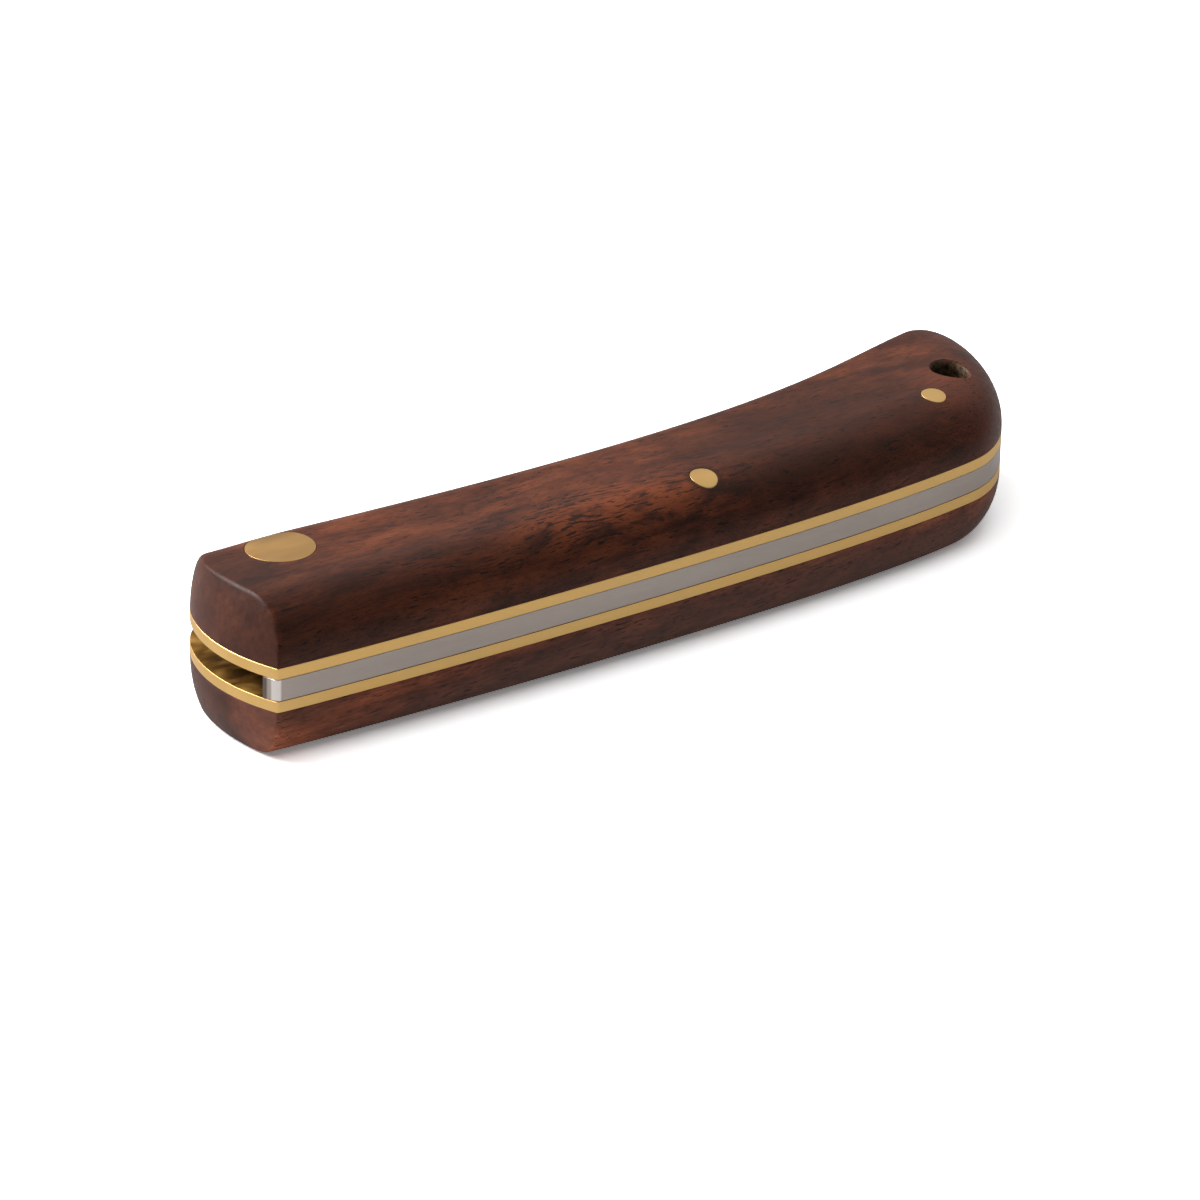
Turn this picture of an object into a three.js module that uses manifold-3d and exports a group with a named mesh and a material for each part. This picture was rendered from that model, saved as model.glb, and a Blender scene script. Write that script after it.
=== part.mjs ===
// A folding pocket knife, closed and lying on its side: one blade on a pivot, a steel back spring,
// two brass liners and two domed wooden scales, held together by three brass pins.
// Millimetres. +X runs from the pivot end to the butt, -Y is the back of the handle, +Y is the side
// that the blade comes out of, and +Z is up, through the thickness.
// The pieces are drawn with the sharp corner of the back and the pivot end at x = 0, y = 0, and with
// the middle of the thickness at z = 0. The whole knife is moved to its resting place at the end.
import * as THREE from 'three';
import { mergeVertices } from 'three/addons/utils/BufferGeometryUtils.js';
import Module from 'manifold-3d';

const wasm = await Module();
wasm.setup();

// Layers through the thickness
const springThickness = 2.5;
const linerThickness = 1.25;
const scaleHeight = 6.5;

// Handle outline: four corners joined by curves
const backLength = 91.6;          // corner at the pivot end to where the back turns into the butt
const backRise = 0.15;            // how far that turn lies inside the line of the back
const buttReach = 10.8;           // turn of the back to the toe of the butt, along the handle
const buttWidth = 23.5;           // line of the back to the toe of the butt
const pivotEndSetback = 4.5;      // how far the belly starts behind the corner
const pivotEndWidth = 19.9;       // line of the back to the start of the belly
const backLeaveAngle = -9.4;      // headings in degrees, counter-clockwise from +X
const backArriveAngle = 10.3;
const toeAngle = 191.0;
const bellyArriveAngle = 174.7;
const endArriveAngle = -65.8;
const reach = {                   // how far each curve holds its heading, as a share of its chord
  backLeave: 0.053, backArrive: 0.24,
  buttLeave: 0.448, buttArrive: 0.3,
  bellyLeave: 0.146, bellyArrive: 0.733,
  endLeave: 0.174, endArrive: 0.572,
};

// The dome of a scale: how far its flat top lies inside the outline, and how full its edge is
const domeAtBack = 5.5;
const domeAtBelly = 5.35;
const domeAtPivotEnd = 2.95;
const domeAtTurn = 1.5;
const domeAtToe = 9.2;
const domePower = 0.945;          // 1 is an elliptical edge, less is a fuller one
const domeSteps = 8;
const outlinePoints = { back: 24, butt: 16, belly: 26, end: 12 };

// Pins and holes
const pinRadius = 1.5;
const centrePinX = 56.05;
const centrePinInset = 2.55;      // line of the back to the pin's axis
const buttPinFromTurn = 2.1;      // turn of the back to the butt pin, towards the pivot end
const buttPinInset = 5.3;
const pivotX = 8.9;
const pivotInset = 12.7;
const pivotPinRadius = 1.6;
const bolsterRadius = 3.7;
const rivetDepth = 3.0;           // how far the pivot pin goes into each bolster
const lanyardHoleRadius = 1.95;
const lanyardFromTurn = 3.8;      // turn of the back to the lanyard hole, towards the toe
const lanyardInset = 9.7;
const lanyardMouthRadius = 2.6;
const lanyardMouthDepth = 1.7;
const seatGap = 0.25;             // pin to hole, in fixed pieces
const runningGap = 0.1;           // blade to pivot pin, blade to spring, blade to each liner
const roundSides = 48;
const pinSides = 32;

// Tang and spring
const tangFlat = 6.3;             // pivot axis to the spring's pad
const tangRadius = 7.4;           // pivot axis to the round end of the tang
const padBack = 4.6;              // pivot axis to the end of the pad at the nose
const padAhead = 10.6;            // pivot axis to the end of the pad at the arm
const noseDepth = 1.8;            // depth of the spring's end face
const armDepth = 4.7;             // depth of the spring's free arm
const pinWall = 1.6;              // steel between a pin and the inside of the spring
const blockFromToe = 13.5;        // toe of the butt to the end of the blade slot

// Blade, in its closed place
const bladeReach = 77.0;          // pivot axis to the tip, along the handle
const tipInset = 17.0;            // line of the back to the tip
const edgeInset = 6.3;            // line of the back to the straight of the cutting edge
const edgeStart = 12.2;           // pivot axis to the heel of the cutting edge
const straightBack = 40.0;        // pivot axis to where the blade's back starts to drop
const choilRadius = 0.8;
const grindShare = 0.62;          // share of the blade's width that is ground
const edgeThickness = 0.25;
const tipThickness = 0.9;
const edgeLeave = 0.6;            // shares of the chord, as for the handle's curves
const edgeArrive = 0.22;
const dropLeave = 0.45;
const dropArrive = 0.3;
const tipEdgeAngle = 48;
const tipBackAngle = -28;
const taperStart = 0.55;          // share of the blade's length where it starts to thin to the tip
const tipShare = 0.985;           // where the blunt tip ends the edge and the back
const bladeStations = 26;
const wheelSides = 240;
const nickFromPivot = 34.0;       // pivot axis to the middle of the nail nick
const nickFromBack = 1.8;
const nickLength = 15.0;
const nickWidth = 1.3;
const nickDepth = 0.5;

const slotHalf = springThickness / 2;
const bladeThickness = springThickness - 2 * runningGap;
const linerOuter = slotHalf + linerThickness;
const scaleOuter = linerOuter + scaleHeight;
const toeX = backLength + buttReach;
const pivot = new THREE.Vector2(pivotX, pivotInset);
const centrePin = new THREE.Vector2(centrePinX, centrePinInset);
const buttPin = new THREE.Vector2(backLength - buttPinFromTurn, buttPinInset);
const lanyard = new THREE.Vector2(backLength + lanyardFromTurn, lanyardInset);
const bladeBackY = 2 * pivot.y - runningGap;    // open, the blade's back lines up with the handle's

const wood = () => new THREE.MeshStandardMaterial({ color: 0x4a2a20, roughness: 0.5, metalness: 0 });
const brass = () => new THREE.MeshStandardMaterial({ color: 0xcda661, roughness: 0.35, metalness: 1 });
const steel = () => new THREE.MeshStandardMaterial({ color: 0x9a9492, roughness: 0.4, metalness: 1 });

function heading(degrees, length) {
  const angle = THREE.MathUtils.degToRad(degrees);
  return new THREE.Vector2(Math.cos(angle) * length, Math.sin(angle) * length);
}

// One side of the outline: it leaves and arrives on given headings, each for a share of the chord
function side(from, to, leaveAngle, leaveShare, arriveAngle, arriveShare) {
  const chord = from.distanceTo(to);
  const leave = from.clone().add(heading(leaveAngle, leaveShare * chord));
  const arrive = to.clone().sub(heading(arriveAngle, arriveShare * chord));
  return new THREE.CubicBezierCurve(from, leave, arrive, to);
}

// The handle's four sides, drawn in by a share of the dome's width: 0 is the edge, 1 the flat top
function handleSides(share) {
  const corner = new THREE.Vector2(domeAtPivotEnd * share, domeAtBack * share);
  const turn = new THREE.Vector2(backLength - domeAtTurn * share, backRise + domeAtBack * share);
  const toe = new THREE.Vector2(toeX - domeAtToe * share, buttWidth - domeAtBelly * share);
  const bellyX = pivotEndSetback - domeAtPivotEnd * share;
  const bellyStart = new THREE.Vector2(bellyX, pivotEndWidth - domeAtBelly * share);
  return {
    back: side(corner, turn, backLeaveAngle, reach.backLeave, backArriveAngle, reach.backArrive),
    butt: side(turn, toe, backArriveAngle, reach.buttLeave, toeAngle, reach.buttArrive),
    belly: side(toe, bellyStart, toeAngle, reach.bellyLeave, bellyArriveAngle, reach.bellyArrive),
    end: side(bellyStart, corner, bellyArriveAngle, reach.endLeave, endArriveAngle, reach.endArrive),
  };
}

function sidePoints(sides, name) {
  return sides[name].getPoints(outlinePoints[name]).slice(0, -1);
}

function handleOutline(share) {
  const sides = handleSides(share);
  return Object.keys(outlinePoints).flatMap((name) => sidePoints(sides, name));
}

// A closed mesh from rings of points, capped at both ends; flatten turns a point into cap coordinates
function loft(rings, flatten) {
  const size = rings[0].length;
  const positions = rings.flat().flatMap((p) => [p.x, p.y, p.z]);
  const faces = [];
  for (let r = 0; r < rings.length - 1; r += 1) {
    for (let i = 0; i < size; i += 1) {
      const a = r * size + i;
      const b = r * size + ((i + 1) % size);
      faces.push(a, b, b + size, a, b + size, a + size);
    }
  }
  const capFaces = (ring) => THREE.ShapeUtils.triangulateShape(ring.map(flatten), []);
  const last = (rings.length - 1) * size;
  capFaces(rings[0]).forEach(([a, b, c]) => faces.push(a, c, b));
  capFaces(rings.at(-1)).forEach(([a, b, c]) => faces.push(last + a, last + b, last + c));
  const geometry = new THREE.BufferGeometry();
  geometry.setAttribute('position', new THREE.Float32BufferAttribute(positions, 3));
  geometry.setIndex(faces);
  return geometry;
}

function solid(geometry) {
  const bare = geometry.clone();
  bare.deleteAttribute('normal');
  bare.deleteAttribute('uv');
  const merged = mergeVertices(bare);
  return new wasm.Manifold(new wasm.Mesh({
    numProp: 3,
    vertProperties: new Float32Array(merged.attributes.position.array),
    triVerts: new Uint32Array(merged.index.array),
  }));
}

function geometryOf(body) {
  const { vertProperties, triVerts } = body.getMesh();
  const geometry = new THREE.BufferGeometry();
  geometry.setAttribute('position', new THREE.BufferAttribute(vertProperties, 3));
  geometry.setIndex(new THREE.BufferAttribute(triVerts, 1));
  return geometry;
}

// A round bar or cone on a vertical axis
function bar(at, radius, bottom, top, sides, topRadius = radius) {
  const geometry = new THREE.CylinderGeometry(topRadius, radius, top - bottom, sides);
  geometry.rotateX(Math.PI / 2);
  geometry.translate(at.x, at.y, (bottom + top) / 2);
  return solid(geometry);
}

function plate(outline, bottom, top, holes) {
  const shape = new THREE.Shape(outline);
  holes.forEach(({ at, radius, sides }) => {
    const ring = new THREE.Path().absarc(at.x, at.y, radius, 0, 2 * Math.PI, true);
    shape.holes.push(new THREE.Path(ring.getPoints(sides / 2).slice(0, -1)));
  });
  const geometry = new THREE.ExtrudeGeometry(shape, { depth: top - bottom, bevelEnabled: false });
  return geometry.translate(0, 0, bottom);
}

function mesh(name, geometry, material) {
  geometry.deleteAttribute('uv');
  geometry.computeVertexNormals();
  const piece = new THREE.Mesh(geometry, material);
  piece.name = name;
  return piece;
}

// The rings of one dome, from its edge at the liner to its flat top
function domeRings(side) {
  return Array.from({ length: domeSteps + 1 }, (_, step) => {
    const angle = (step / domeSteps) * (Math.PI / 2);
    const share = 1 - Math.cos(angle) ** domePower;
    const z = side * (linerOuter + scaleHeight * Math.sin(angle) ** domePower);
    return handleOutline(share).map((p) => new THREE.Vector3(p.x, p.y, z));
  });
}

const inPlan = (p) => new THREE.Vector2(p.x, p.y);
const upperDome = solid(loft(domeRings(1), inPlan));
const lowerDome = solid(loft(domeRings(-1).reverse(), inPlan));
const wholeHandle = solid(loft([...domeRings(-1).reverse(), ...domeRings(1)], inPlan));

function scale(dome, side) {
  const low = Math.min(0, side * scaleOuter) - 1;
  const high = Math.max(0, side * scaleOuter) + 1;
  const mouthLow = side * (scaleOuter - lanyardMouthDepth);
  const mouthHigh = side * scaleOuter;
  const mouth = side > 0
    ? bar(lanyard, lanyardHoleRadius, mouthLow, mouthHigh + 1, roundSides, lanyardMouthRadius)
    : bar(lanyard, lanyardMouthRadius, mouthHigh - 1, mouthLow, roundSides, lanyardHoleRadius);
  const cuts = [
    bar(centrePin, pinRadius + seatGap, low, high, pinSides),
    bar(buttPin, pinRadius + seatGap, low, high, pinSides),
    bar(pivot, bolsterRadius + seatGap, low, high, roundSides),
    bar(lanyard, lanyardHoleRadius, low, high, roundSides),
    mouth,
  ];
  return geometryOf(cuts.reduce((body, cut) => body.subtract(cut), dome));
}

function liner(bottom) {
  return plate(handleOutline(0), bottom, bottom + linerThickness, [
    { at: pivot, radius: pivotPinRadius + seatGap, sides: roundSides },
    { at: centrePin, radius: pinRadius + seatGap, sides: pinSides },
    { at: buttPin, radius: pinRadius + seatGap, sides: pinSides },
    { at: lanyard, radius: lanyardHoleRadius, sides: roundSides },
  ]);
}

// Height of a line of points at x, where the line runs one way along x
function heightAt(points, x) {
  const next = points.findIndex((p, i) => i > 0 && (p.x - x) * (points[i - 1].x - x) <= 0);
  const [from, to] = [points[next - 1], points[next]];
  return THREE.MathUtils.mapLinear(x, from.x, to.x, from.y, to.y);
}

// The spring follows the outline along the back and round the butt, up to the end of the blade slot.
// Inside it has a flat pad under the tang, a slim arm, and enough steel round each pin.
function backSpring() {
  const sides = handleSides(0);
  const back = sidePoints(sides, 'back');
  const belly = sidePoints(sides, 'belly');
  const slotEndX = toeX - blockFromToe;
  const padY = pivot.y - tangFlat;
  const padEnd = pivot.x + padAhead;
  const armStart = padEnd + armDepth;
  const armEnd = (centrePin.x + armStart) / 2 + armDepth;
  const armPoint = (x) => new THREE.Vector2(x, heightAt(back, x) + armDepth);
  const inside = new THREE.SplineCurve([
    new THREE.Vector2(slotEndX, (buttWidth + buttPin.y) / 2),
    new THREE.Vector2(buttPin.x - pinRadius, buttPin.y + pinRadius + pinWall),
    new THREE.Vector2((buttPin.x + centrePin.x) / 2, centrePin.y + pinRadius + pinWall / 2),
    new THREE.Vector2(centrePin.x, centrePin.y + pinRadius + pinWall),
    armPoint(armEnd),
    armPoint(armStart),
  ]);
  return [
    ...back,
    ...sidePoints(sides, 'butt'),
    ...belly.filter((p) => p.x > slotEndX),
    new THREE.Vector2(slotEndX, heightAt(belly, slotEndX)),
    ...inside.getPoints(32),
    new THREE.Vector2(padEnd, padY),
    new THREE.Vector2(pivot.x - padBack, padY),
    noseCorner(),
  ];
}

// The inner corner of the spring's end face, on the slope of the handle's pivot end
function noseCorner() {
  const end = handleSides(0).end;
  return end.getPoint(1).sub(end.getTangent(1).multiplyScalar(noseDepth));
}

// The tang: round at the end, flat towards the spring both when closed and when open, with a notch
// that takes the spring's nose when the blade is open
function tangOutline() {
  const flat = tangFlat - runningGap;
  const sweep = Math.acos(flat / tangRadius);
  const round = new THREE.Path().absarc(
    pivot.x, pivot.y, tangRadius, Math.PI / 2 + sweep, 1.5 * Math.PI - sweep, false);
  const end = handleSides(0).end.getTangent(1);
  const away = new THREE.Vector2(-end.y, end.x).multiplyScalar(seatGap);
  const across = (p) => new THREE.Vector2(2 * pivot.x - p.x, 2 * pivot.y - p.y).add(away);
  const corner = across(new THREE.Vector2(0, 0));
  const heelX = pivot.x + edgeStart;
  const choil = new THREE.Path().absarc(
    heelX - choilRadius, pivot.y - flat, choilRadius, Math.PI, 0, true);
  return [
    ...round.getPoints(12),
    ...choil.getPoints(5),
    new THREE.Vector2(heelX + choilRadius, pivot.y - flat),
    new THREE.Vector2(heelX + choilRadius, bladeBackY),
    new THREE.Vector2(corner.x, bladeBackY),
    across(noseCorner()),
    new THREE.Vector2(pivot.x + padBack + seatGap, pivot.y + flat),
  ];
}

// The ground part of the blade: sections from the heel to the tip, each a wedge under a flat back
function bladeSections() {
  const heel = new THREE.Vector2(pivot.x + edgeStart, edgeInset);
  const tip = new THREE.Vector2(pivot.x + bladeReach, tipInset);
  const drop = new THREE.Vector2(pivot.x + straightBack, bladeBackY);
  const run = tip.x - heel.x;
  const edge = side(heel, tip, 0, edgeLeave, tipEdgeAngle, edgeArrive);
  const back = side(drop, tip, 0, dropLeave, tipBackAngle, dropArrive);
  const backStart = new THREE.Vector2(heel.x, bladeBackY);
  const straight = (drop.x - heel.x) / run;
  const backPoint = (t) => (t < straight
    ? backStart.clone().lerp(drop, t / straight)
    : back.getPoint((t - straight) / (1 - straight)));
  const at = (p, z) => new THREE.Vector3(p.x, p.y, z);
  return Array.from({ length: bladeStations + 1 }, (_, i) => {
    const t = (i / bladeStations) * tipShare;
    const low = edge.getPoint(t);
    const high = backPoint(t);
    const grind = low.clone().lerp(high, grindShare);
    const taper = THREE.MathUtils.smoothstep(t, taperStart, 1);
    const half = THREE.MathUtils.lerp(bladeThickness, tipThickness, taper) / 2;
    const sharp = edgeThickness / 2;
    return [
      at(low, -sharp), at(grind, -half), at(high, -half),
      at(high, half), at(grind, half), at(low, sharp),
    ];
  });
}

// The nail nick is a shallow crescent: a wide wheel dips into the upper face, deepest towards the back
function nailNick() {
  const radius = (nickLength ** 2 / 4 + nickDepth ** 2) / (2 * nickDepth);
  const wheel = new THREE.CylinderGeometry(radius, radius - nickDepth, nickWidth, wheelSides);
  const y = bladeBackY - nickFromBack - nickWidth / 2;
  wheel.translate(pivot.x + nickFromPivot, y, bladeThickness / 2 - nickDepth + radius);
  return solid(wheel);
}

function blade() {
  const half = bladeThickness / 2;
  const inSection = (p) => new THREE.Vector2(p.y, p.z);
  const ground = solid(loft(bladeSections(), inSection));
  const tang = solid(plate(tangOutline(), -half, half, []));
  const hole = bar(pivot, pivotPinRadius + runningGap, -half - 1, half + 1, roundSides);
  return geometryOf(ground.add(tang).subtract(hole).subtract(nailNick()));
}

// A round brass plug set in a scale, ground flush with it, with a blind hole for the pivot pin
function bolster(from, to) {
  const plug = bar(pivot, bolsterRadius, Math.min(from, to), Math.max(from, to), roundSides);
  const inner = from + Math.sign(from) * (rivetDepth + seatGap);
  const hole = bar(
    pivot, pivotPinRadius + seatGap, Math.min(0, inner), Math.max(0, inner), roundSides);
  return geometryOf(plug.intersect(wholeHandle).subtract(hole));
}

function throughPin(at) {
  const reachOut = scaleOuter + 1;
  return geometryOf(bar(at, pinRadius, -reachOut, reachOut, pinSides).intersect(wholeHandle));
}

function pivotPin() {
  const half = linerOuter + rivetDepth;
  return geometryOf(bar(pivot, pivotPinRadius, -half, half, roundSides));
}

const knife = new THREE.Group();
const spring = plate(backSpring(), -slotHalf, slotHalf, [
  { at: centrePin, radius: pinRadius + seatGap, sides: pinSides },
  { at: buttPin, radius: pinRadius + seatGap, sides: pinSides },
  { at: lanyard, radius: lanyardHoleRadius, sides: roundSides },
]);
knife.add(
  mesh('top_scale', scale(upperDome, 1), wood()),
  mesh('bottom_scale', scale(lowerDome, -1), wood()),
  mesh('top_liner', liner(slotHalf), brass()),
  mesh('bottom_liner', liner(-linerOuter), brass()),
  mesh('back_spring', spring, steel()),
  mesh('blade', blade(), steel()),
  mesh('pivot_pin', pivotPin(), brass()),
  mesh('top_bolster', bolster(linerOuter, scaleOuter), brass()),
  mesh('bottom_bolster', bolster(-linerOuter, -scaleOuter), brass()),
  mesh('centre_pin', throughPin(centrePin), brass()),
  mesh('butt_pin', throughPin(buttPin), brass()),
);

// The knife's resting place: the middle of its footprint at x = 0, y = 0 and its underside at z = 0
const space = new THREE.Box3().setFromObject(knife);
knife.position.set(-(space.min.x + space.max.x) / 2, -(space.min.y + space.max.y) / 2, -space.min.z);

export default knife;
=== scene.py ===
"""A folding pocket knife, closed and lying on its side, with its fine shapes and finishes.

Sizes are in millimetres in the drawing's frame: the sharp corner of the back and the pivot end at
x = 0, y = 0, the middle of the thickness at z = 0, +X towards the butt, and +Y towards the side that
the blade comes out of. place() turns such a point into metres in the row frame.
"""
import math

import bmesh
import bpy
from mathutils import Matrix, Vector
from mathutils.bvhtree import BVHTree

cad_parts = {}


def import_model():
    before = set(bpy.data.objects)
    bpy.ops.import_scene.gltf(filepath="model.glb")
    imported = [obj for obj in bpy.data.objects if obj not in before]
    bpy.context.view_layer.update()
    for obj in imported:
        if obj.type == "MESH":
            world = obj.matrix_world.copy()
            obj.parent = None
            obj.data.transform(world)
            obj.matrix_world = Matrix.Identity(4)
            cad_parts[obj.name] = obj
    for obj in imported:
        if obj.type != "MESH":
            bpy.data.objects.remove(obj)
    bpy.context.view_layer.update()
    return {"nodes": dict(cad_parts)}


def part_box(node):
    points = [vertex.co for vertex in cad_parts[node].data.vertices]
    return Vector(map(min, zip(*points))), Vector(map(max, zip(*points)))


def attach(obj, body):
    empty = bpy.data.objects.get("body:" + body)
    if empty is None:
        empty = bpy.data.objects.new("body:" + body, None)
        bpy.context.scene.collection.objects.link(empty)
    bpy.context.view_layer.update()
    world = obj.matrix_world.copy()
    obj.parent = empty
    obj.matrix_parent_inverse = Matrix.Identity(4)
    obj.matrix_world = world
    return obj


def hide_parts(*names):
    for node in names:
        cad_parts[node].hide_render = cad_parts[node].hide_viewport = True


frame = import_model()

MM = 0.001

# Layers through the thickness
SPRING_THICKNESS = 2.5
LINER_THICKNESS = 1.25
SCALE_HEIGHT = 6.5
SLOT_HALF = SPRING_THICKNESS / 2
LINER_OUTER = SLOT_HALF + LINER_THICKNESS
SCALE_OUTER = LINER_OUTER + SCALE_HEIGHT

# Handle outline: four corners joined by curves. Angles are headings in degrees
BACK_LENGTH = 91.6
BACK_RISE = 0.15
BUTT_REACH = 10.8
BUTT_WIDTH = 23.5
PIVOT_END_SETBACK = 4.5
PIVOT_END_WIDTH = 19.9
BACK_LEAVE, BACK_ARRIVE = (-9.4, 0.053), (10.3, 0.24)      # heading, share of the chord
BUTT_LEAVE, BUTT_ARRIVE = (10.3, 0.448), (191.0, 0.3)
BELLY_LEAVE, BELLY_ARRIVE = (191.0, 0.146), (174.7, 0.733)
END_LEAVE, END_ARRIVE = (174.7, 0.174), (-65.8, 0.572)
TOE_X = BACK_LENGTH + BUTT_REACH

# The dome of a scale: how far its top lies inside the outline, and how full its edge is.
# The two scales are shaped by hand, so the upper one (1) is a little rounder than the lower one (-1)
DOME_AT_CORNER = {1: 5.8, -1: 5.4}
DOME_AT_BUTT = {1: 6.8, -1: 4.3}
DOME_AT_TURN = 2.0
DOME_AT_TOE = Vector((7.4, 4.6))
DOME_AT_FAR_CORNER = Vector((2.95, 4.7))
DOME_POWER = 0.945
DOME_RINGS = 26
DOME_CAP_RINGS = (0.1, 0.3, 0.55, 0.8)
MIDLINE_POINTS = 20
END_LEAN = 2.0              # the pivot end leans in, more and more towards the top
END_LEAN_POWER = {1: 1.4, -1: 2.2}
END_ARRIVE_AT_TOP = -86.0
RIDGE_AT_LINER = 0.12       # radius of the ridge round the pivot end
RIDGE_AT_TOP = 0.34
RIDGE_FULL_RISE = 0.5       # share of the scale's height where the ridge has its top radius
RIDGE_EASE = 0.3            # share of the end's curve over which the rounding grows in
RIDGE_REACH = 0.5           # stretch beside the ridge that has closer points
RIDGE_POINTS = 8
FAR_CORNER_DROP = 0.5       # how far the top falls towards the far corner of the pivot end
DROP_Y = (8, 17)            # it starts and is full this far from the back
DROP_X = 13                 # and starts this far from the pivot end
WOOD_EDGE = 0.05            # tiny rounding where the wood meets the brass
OUTLINE_POINTS = {"back": 130, "butt": 44, "belly": 130, "end": 34}

# Pins and holes
PIVOT = Vector((8.9, 12.7))
CENTRE_PIN = Vector((56.05, 2.55))
BUTT_PIN = Vector((BACK_LENGTH - 2.1, 5.3))
LANYARD = Vector((BACK_LENGTH + 3.8, 9.7))
PIN_RADIUS = 1.5
BUTT_PIN_RADIUS = 1.38
PIVOT_PIN_RADIUS = 1.6
BOLSTER_RADIUS = 3.7
LANYARD_RADIUS = 1.95
LANYARD_FLARE = 0.5
LANYARD_FLARE_DEPTH = 0.9
SNUG = 0.05                 # pin to hole
PIN_EDGE = 0.05
PIN_RING_SHARES = (0.02, 0.25, 0.5, 0.75, 0.9)
PIN_EDGE_ANGLES = (30, 60, 90)
MOUTH_ANGLES = (12, 24, 36, 48, 60, 72, 84, 90)     # round the rounded mouth of a hole
SEAT_GAP = 0.25
RUNNING_GAP = 0.1
ROUND_SIDES = 96

# Making of the meshes
BISECTIONS = 30
CLEAR = 1.0                 # how far a cutter passes the surface that it cuts
MERGE_DISTANCE = 1e-8       # in metres
SHARP_ANGLE = 32            # edges sharper than this stay sharp

# Tang and spring
TANG_FLAT = 6.3
TANG_RADIUS = 7.4
PAD_BACK = 4.6
PAD_AHEAD = 10.6
NOSE_DEPTH = 1.8
ARM_DEPTH = 4.7
PIN_WALL = 1.6
BLOCK_FROM_TOE = 13.5
SPRING_EDGE = 0.09          # broken edges of the spring, which make the thin dark lines beside it
NOSE_ALONG_BACK = 0.3       # rounding of the spring's front corner
NOSE_ALONG_END = 0.8
NOSE_POINTS = 7
SLOT_END_POINTS = 24
SLOT_SEARCH_STEPS = 400
INSIDE_POINTS = 60
TANG_POINTS = 40
LINER_EDGE = 0.04

# Blade
BLADE_HALF = SLOT_HALF - RUNNING_GAP
BLADE_REACH = 77.0
TIP_INSET = 17.0
EDGE_INSET = 6.3
EDGE_START = 12.2
STRAIGHT_BACK = 40.0
CHOIL_RADIUS = 0.8
CHOIL_POINTS = 14
GRIND_SHARE = 0.62
PLUNGE_START = 0.3
PLUNGE_LENGTH = 3.2
EDGE_HALF = 0.06
BEVEL_HALF = 0.2            # half thickness where the sharpened edge begins
BEVEL_WIDTH = 0.55
TIP_HALF = 0.4
SPINE_EDGE = 0.15
NARROW_SHARE = 0.2          # the most of the width that each edge may take, near the tip
EDGE_LEAVE, EDGE_ARRIVE = (0.0, 0.6), (48.0, 0.22)
DROP_LEAVE, DROP_ARRIVE = (0.0, 0.45), (-28.0, 0.3)
TAPER_START = 0.55
TIP_SHARE = 0.985
BLADE_STATIONS = 150
BLADE_BACK = 2 * PIVOT.y - RUNNING_GAP
NICK_FROM_PIVOT = 34.0
NICK_FROM_BACK = 1.8
NICK_LENGTH = 15.0
NICK_WIDTH = 1.3
NICK_DEPTH = 0.5
NICK_LEAST_DEPTH = 0.001
NICK_STATIONS = 40
NICK_CLEAR = 0.2            # how far its cutter passes the side of the blade

# Wood. Colours are as a picture editor shows them, from 0 to 255, and angles are in degrees
GRAIN_SLOPE = 3.0           # in plan
GRAIN_DIP = 3.0             # through the thickness
GRAIN_SWAY = (6.0, 3.0)     # in plan and through the thickness
SWAY_CYCLES = (30, 90, 90)
SIDE_PAINTED_SHADE = 0.28       # painted shade: the sides are darker than the top, standing in for the weaker light on them
SIDE_SHADE_FACING = (0.35, 0.85)
BACK_PAINTED_LIGHT = {1: 0.0, -1: 1.75}      # painted light: how much lighter each scale is painted along the back, standing in for light thrown up from the floor
WOOD_TONES = ((0.34, (57, 26, 15)), (0.44, (88, 44, 27)), (0.52, (112, 59, 37)), (0.64, (142, 78, 50)))
TONE_SHARES = (0.3, 0.28, 0.42)     # of the bands, the streaks and the mottle
GLOW_COLOUR = (162, 85, 50)
DULL_COLOUR = (62, 29, 15)
# Painted reflection and shade on the lower scale's underside
UNDERSIDE_REFLECTION_COLOUR = (58, 48, 45)
BUTT_COLOUR = (150, 77, 50)
BAND_COLOUR = (54, 27, 19)
PIVOT_END_COLOUR = (54, 29, 22)
# Painted shade below the lower liner
SHADE_BELOW_LINER_COLOUR = (36, 26, 23)
PORE_COLOUR = (34, 17, 14)
END_GRAIN_COLOUR = (68, 42, 35)
END_GRAIN_SHARE = 0.62
END_GRAIN_FACING = (0.55, 0.85)
END_GRAIN_PORES = 0.3
WOOD_ROUGHNESS = (0.36, 0.48)
WOOD_RELIEF = (0.03, 0.35)          # depth in millimetres, strength
FIBRE_SHARE = 0.3

# What the grain shows: length and width, then detail and roughness where they are given
BANDS = (22, 3.4, 3.0)
STREAKS = (9, 0.6, 3.0, 0.6)
MOTTLE = (4.5, 2.2, 4.0, 0.65)
GLOW_PATCHES = (5, 2.2, 3.0, 0.6)
BOLD_PORES = (1.9, 0.24)
PORE_CLUSTERS = (6, 2.4)
FINE_PORES = (1.1, 0.15, 1.0)
DARK_LINES = (8, 0.22)
FIBRES = (9, 0.12)
BORE_FLUFF = (0.9, 0.7, 3.0, 0.7)
RAGGED_EDGE = (3.0, 0.5)

# From which value to which a noise becomes a mark, and how dark the marks are
PATCH_LEVELS = (0.4, 0.58)
CLUSTER_LEVELS = (0.4, 0.62)
CLUSTER_GAIN = 0.07
BOLD_LEVELS = (0.665, 0.715)
BOLD_DARKNESS = 0.85
FINE_LEVELS = (0.56, 0.68)
FINE_DARKNESS = 0.42
NOISE_LEVELS = (0.3, 0.7)           # the range that most values of a noise lie in

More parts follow.
